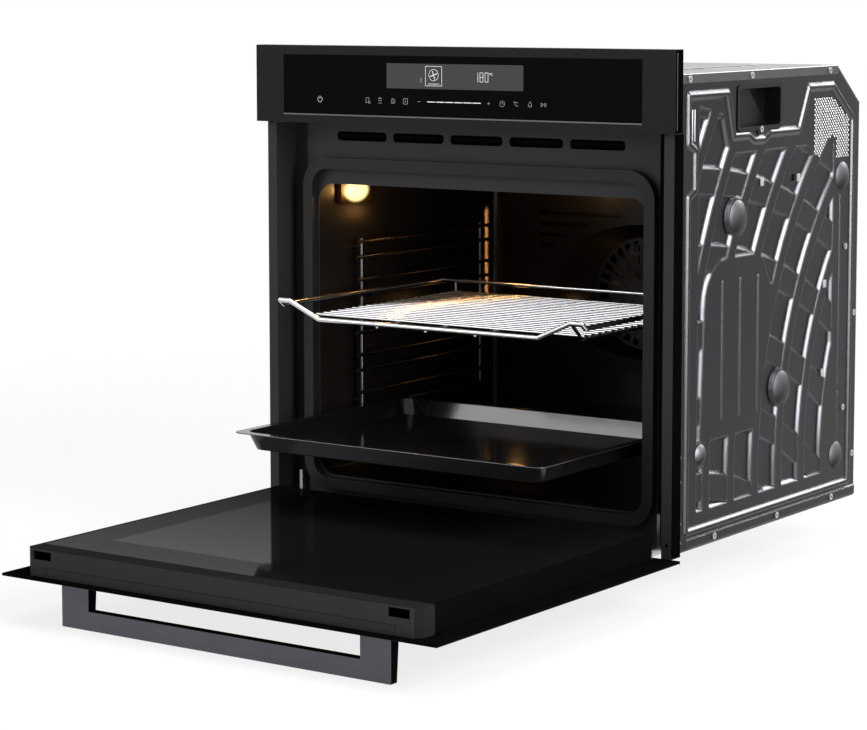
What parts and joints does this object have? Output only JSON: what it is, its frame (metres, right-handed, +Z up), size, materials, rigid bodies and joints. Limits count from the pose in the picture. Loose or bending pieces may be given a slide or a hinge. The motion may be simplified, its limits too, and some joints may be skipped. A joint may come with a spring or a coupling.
{
  "type": "built-in wall oven",
  "caption": "Built-in wall oven with drop-down door, wire shelf, baking tray, side racks, fans, heaters and a glass control panel.",
  "frame": {"origin": "centre of the underside of the base panel", "axes": "+X to the right of someone facing the oven, +Y into the cabinet, +Z up"},
  "size_m": [0.595, 1.0065, 0.6413],
  "materials": {
    "aluminium_fins": "thin aluminium",
    "black_glass": "black coated glass",
    "black_plastic": "black plastic",
    "black_steel": "dark coated stainless steel with a fine horizontal brush",
    "chrome_wire": "bright chromed wire",
    "clear_glass": "clear heat-proof glass",
    "dark_aluminium": "dark anodised extruded aluminium",
    "element_steel": "dark stainless tube of a heating element",
    "enamel_black": "black vitreous enamel",
    "enamel_dark": "dark grey vitreous enamel, glossy",
    "frame_enamel": "dark grey satin enamel on pressed steel",
    "graphite_sheet": "graphite coated sheet steel",
    "mineral_wool": "mineral wool blanket",
    "seal_rubber": "black silicone rubber",
    "steel": "plain steel",
    "trim_plastic": "dark heat-proof plastic",
    "zinc_sheet": "zinc-coated sheet steel"
  },
  "bodies": {
    "oven": {"air_duct": "zinc_sheet", "base_panel": "zinc_sheet", "blower_housing": "zinc_sheet", "blower_motor": "zinc_sheet", "board_tray": "black_plastic", "bottom_element": "element_steel", "cavity_liner": "enamel_dark", "chassis_plate": "zinc_sheet", "control_board": "black_plastic", "control_fascia": "black_steel", "control_glass": "black_glass", "control_housing": "black_plastic", "display_module": "black_plastic", "door_seal": "seal_rubber", "fan_cover": "enamel_dark", "fan_motor": "zinc_sheet", "front_frame": "frame_enamel", "glass_strip": "black_steel", "grill_element": "element_steel", "hinge_arm_left": "steel", "hinge_arm_right": "steel", "hinge_receiver_left": "zinc_sheet", "hinge_receiver_right": "zinc_sheet", "hold_bowl_left": "black_plastic", "hold_bowl_right": "black_plastic", "insulation_wool": "mineral_wool", "lamp_bulb": "clear_glass", "lamp_glass": "clear_glass", "lamp_housing": "zinc_sheet", "power_board": "black_plastic", "rack_left": "chrome_wire", "rack_right": "chrome_wire", "rear_panel": "zinc_sheet", "ring_element": "element_steel", "side_panel_left": "graphite_sheet", "side_panel_right": "graphite_sheet", "side_screws_left": "steel", "side_screws_right": "steel", "temperature_sensor": "steel", "terminal_block": "black_plastic", "terminal_cover": "black_plastic", "top_cover": "zinc_sheet"},
    "door": {"door_outer_panel": "black_steel", "door_middle_glass": "clear_glass", "door_inner_glass": "clear_glass", "door_profile_left": "dark_aluminium", "door_profile_right": "dark_aluminium", "door_bottom_rail": "dark_aluminium", "door_top_trim": "trim_plastic", "door_handle": "black_steel", "handle_screws": "steel", "hinge_channel_left": "zinc_sheet", "hinge_channel_right": "zinc_sheet", "hinge_pin_left": "steel", "hinge_pin_right": "steel"},
    "shelf": {"shelf_frame": "chrome_wire", "shelf_grid": "chrome_wire"},
    "tray": {"baking_tray": "enamel_black"},
    "fan": {"convection_fan": "steel"},
    "blower": {"blower_rotor": "aluminium_fins"}
  },
  "joints": [
    {"name": "door_hinge", "type": "hinge", "parent": "oven", "child": "door", "pos_m": [0, -0.2625, 0.003], "axis": [-1, 0, 0], "range_deg": [0, 90]},
    {"name": "shelf_slide", "type": "slide", "parent": "oven", "child": "shelf", "axis": [0, 1, 0], "range_m": [0, 0.125]},
    {"name": "tray_slide", "type": "slide", "parent": "oven", "child": "tray", "axis": [0, 1, 0], "range_m": [0, 0.21]},
    {"name": "convection_fan_spin", "type": "hinge", "parent": "oven", "child": "fan", "pos_m": [0.018, 0.166, 0.252], "axis": [0, 1, 0], "continuous": true},
    {"name": "blower_spin", "type": "hinge", "parent": "oven", "child": "blower", "pos_m": [0, 0.1072, 0.498], "axis": [1, 0, 0], "continuous": true}
  ],
  "couplings": [
    {"joint": "shelf_slide", "follows": "door_hinge", "m_per_rad": 0.079576},
    {"joint": "tray_slide", "follows": "door_hinge", "m_per_rad": 0.13369}
  ]
}
